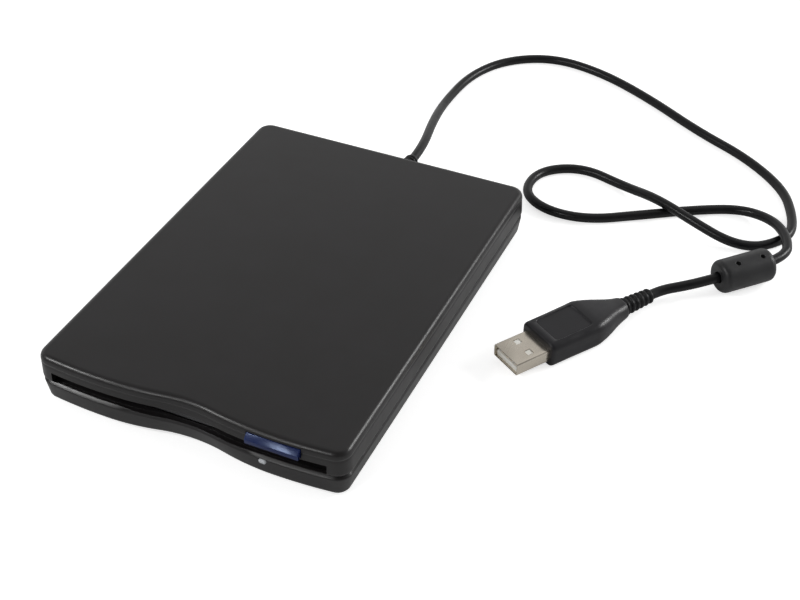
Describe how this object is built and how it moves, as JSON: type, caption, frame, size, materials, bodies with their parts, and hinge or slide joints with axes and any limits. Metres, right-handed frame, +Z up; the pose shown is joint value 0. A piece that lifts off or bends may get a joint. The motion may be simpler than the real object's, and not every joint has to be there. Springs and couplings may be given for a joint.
{
  "type": "external floppy disk drive",
  "caption": "Thin portable external disk drive with a front slot, an eject button, a working loading mechanism and a free cord with a ferrite bead and a plug.",
  "frame": {"origin": "middle of the case's footprint, on the table under the feet", "axes": "+X to the drive's right, +Y to its back where the cord leaves, +Z up"},
  "size_m": [0.1923, 0.2614, 0.0183],
  "materials": {
    "case_black": "satin, fine grain",
    "button_blue": "semi-gloss",
    "lens_clear": "frosted translucent",
    "rubber_black": "matt",
    "label_bare": "bare film",
    "screw_black": "black zinc",
    "screw_zinc": "bright zinc",
    "steel_plate": "galvanised",
    "steel_dark": "dark oxide",
    "door_black": "satin",
    "board_green": "solder mask",
    "chip_black": "matt epoxy",
    "socket_white": "satin nylon",
    "cable_white": "flat film",
    "copper": "enamelled wire",
    "brass": "turned",
    "magnet": "bonded ferrite",
    "head_cream": "polished ceramic",
    "carriage_black": "filled nylon",
    "cord_black": "satin vinyl",
    "bead_black": "satin",
    "plug_black": "satin vinyl",
    "plug_steel": "nickel plated",
    "plug_tongue": "white nylon",
    "contact_gold": "gold plated"
  },
  "bodies": {
    "housing": {"activity_lamp": "lens_clear", "bottom_cover": "case_black", "case_screws": "screw_black", "chassis": "steel_plate", "chassis_screws": "screw_zinc", "chassis_sides": "steel_plate", "controller_board": "board_green", "controller_chips": "chip_black", "cord_connector": "socket_white", "cord_relief": "cord_black", "cord_tail": "cord_black", "disk_switches": "socket_white", "door_ears": "case_black", "ferrite_bead": "bead_black", "flat_cable": "cable_white", "flat_cable_sockets": "socket_white", "front_board": "board_green", "guide_rod": "plug_steel", "lamp_lens": "lens_clear", "motor_board": "board_green", "plug_contacts": "contact_gold", "plug_insulator": "plug_tongue", "plug_overmould": "plug_black", "plug_relief": "plug_black", "plug_shell": "plug_steel", "rating_label": "label_bare", "rubber_feet": "rubber_black", "screw_bracket": "steel_plate", "slider_springs": "screw_zinc", "spindle_bearing": "brass", "stator_coils": "copper", "stator_core": "steel_dark", "stepper_motor": "steel_plate", "top_cover": "case_black", "usb_board": "board_green", "usb_chips": "chip_black", "usb_cord": "cord_black"},
    "slider": {"slider_plate": "steel_plate", "slider_flanges": "steel_plate", "slider_tabs": "steel_plate", "eject_button": "button_blue"},
    "carrier": {"disk_carrier": "steel_plate", "carrier_rails": "steel_plate", "carrier_pins": "screw_zinc", "lever_pin": "screw_zinc"},
    "lever": {"shutter_lever": "steel_plate"},
    "rotor": {"rotor_cup": "steel_plate", "rotor_magnet": "magnet", "spindle_shaft": "plug_steel", "drive_pin": "plug_steel"},
    "head_slide": {"head_carriage": "carriage_black", "lead_pin": "plug_steel", "lower_head": "head_cream", "hinge_pin": "plug_steel"},
    "upper_arm": {"head_arm": "carriage_black", "upper_head": "head_cream"},
    "screw": {"lead_screw": "plug_steel"},
    "door": {"slot_door": "door_black"}
  },
  "joints": [
    {"name": "eject_slide", "type": "slide", "parent": "housing", "child": "slider", "axis": [0, 1, 0], "range_m": [-0.004, 0], "deforming": ["slider_springs"]},
    {"name": "carrier_lift", "type": "slide", "parent": "housing", "child": "carrier", "axis": [0, 0, 1], "range_m": [-0.0024, 0]},
    {"name": "shutter_swing", "type": "hinge", "parent": "carrier", "child": "lever", "pos_m": [0.0395, 0, 0.0138], "axis": [0, 0, 1], "range_deg": [-58, 0], "stiffness_Nm_per_rad": 0.0005},
    {"name": "head_travel", "type": "slide", "parent": "housing", "child": "head_slide", "axis": [0, 1, 0], "range_m": [-0.0148, 0]},
    {"name": "screw_turn", "type": "hinge", "parent": "housing", "child": "screw", "pos_m": [0.012, 0.0435, 0.007], "axis": [0, 1, 0], "range_deg": [-1778, 2]},
    {"name": "arm_lift", "type": "hinge", "parent": "head_slide", "child": "upper_arm", "pos_m": [0, 0.0435, 0.013], "axis": [1, 0, 0], "range_deg": [0, 9.75]},
    {"name": "spindle_spin", "type": "hinge", "parent": "housing", "child": "rotor", "pos_m": [0, -0.022, 0.0036], "axis": [0, 0, 1], "continuous": true},
    {"name": "door_swing", "type": "hinge", "parent": "housing", "child": "door", "pos_m": [0, -0.066, 0.0136], "axis": [1, 0, 0], "range_deg": [0, 78], "stiffness_Nm_per_rad": 0.0004}
  ],
  "couplings": [
    {"joint": "carrier_lift", "follows": "eject_slide", "ratio": 0.6},
    {"joint": "arm_lift", "follows": "eject_slide", "rad_per_m": -42.512},
    {"joint": "screw_turn", "follows": "head_travel", "rad_per_m": 2094.4}
  ]
}
